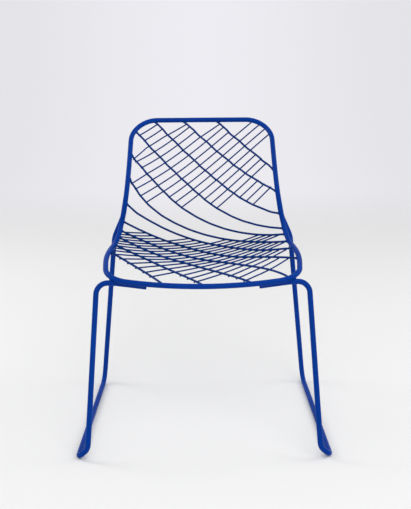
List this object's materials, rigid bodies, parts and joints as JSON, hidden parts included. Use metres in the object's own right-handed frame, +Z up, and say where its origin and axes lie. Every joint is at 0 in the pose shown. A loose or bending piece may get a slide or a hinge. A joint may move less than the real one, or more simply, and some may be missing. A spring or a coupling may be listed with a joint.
{
  "type": "wire mesh chair",
  "caption": "Wire mesh chair: a dished shell of slanting welded wires in a closed rod rim, on two bent rod leg frames with floor runners.",
  "frame": {"origin": "on the floor, under the middle of the chair's overall box", "axes": "+X to the right of someone who looks at the front, the chair faces -Y, +Z up"},
  "size_m": [0.6486, 0.6688, 0.781],
  "materials": {
    "rod_coat": "semi-gloss blue powder coat on steel rod",
    "wire_coat": "semi-gloss blue powder coat on steel wire"
  },
  "bodies": {
    "root": {"shell_rim": "rod_coat", "left_leg_frame": "rod_coat", "right_leg_frame": "rod_coat", "long_wire_01": "wire_coat", "long_wire_02": "wire_coat", "long_wire_03": "wire_coat", "long_wire_04": "wire_coat", "long_wire_05": "wire_coat", "long_wire_06": "wire_coat", "long_wire_07": "wire_coat", "long_wire_08": "wire_coat", "long_wire_09": "wire_coat", "long_wire_10": "wire_coat", "long_wire_11": "wire_coat", "long_wire_12": "wire_coat", "back_cross_wire_01": "wire_coat", "back_cross_wire_02": "wire_coat", "back_cross_wire_03": "wire_coat", "back_cross_wire_04": "wire_coat", "back_cross_wire_05": "wire_coat", "back_cross_wire_06": "wire_coat", "back_cross_wire_07": "wire_coat", "back_cross_wire_08": "wire_coat", "back_cross_wire_09": "wire_coat", "back_cross_wire_10": "wire_coat", "back_cross_wire_11": "wire_coat", "back_cross_wire_12": "wire_coat", "back_cross_wire_13": "wire_coat", "back_cross_wire_14": "wire_coat", "back_cross_wire_15": "wire_coat", "back_cross_wire_16": "wire_coat", "back_cross_wire_17": "wire_coat", "back_cross_wire_18": "wire_coat", "seat_cross_wire_01": "wire_coat", "seat_cross_wire_02": "wire_coat", "seat_cross_wire_03": "wire_coat", "seat_cross_wire_04": "wire_coat", "seat_cross_wire_05": "wire_coat", "seat_cross_wire_06": "wire_coat", "seat_cross_wire_07": "wire_coat", "seat_cross_wire_08": "wire_coat", "seat_cross_wire_09": "wire_coat", "seat_cross_wire_10": "wire_coat", "seat_cross_wire_11": "wire_coat", "seat_cross_wire_12": "wire_coat", "seat_cross_wire_13": "wire_coat", "seat_cross_wire_14": "wire_coat", "seat_cross_wire_15": "wire_coat", "seat_cross_wire_16": "wire_coat", "seat_cross_wire_17": "wire_coat", "seat_cross_wire_18": "wire_coat", "seat_cross_wire_19": "wire_coat", "seat_cross_wire_20": "wire_coat", "seat_cross_wire_21": "wire_coat"}
  },
  "joints": []
}
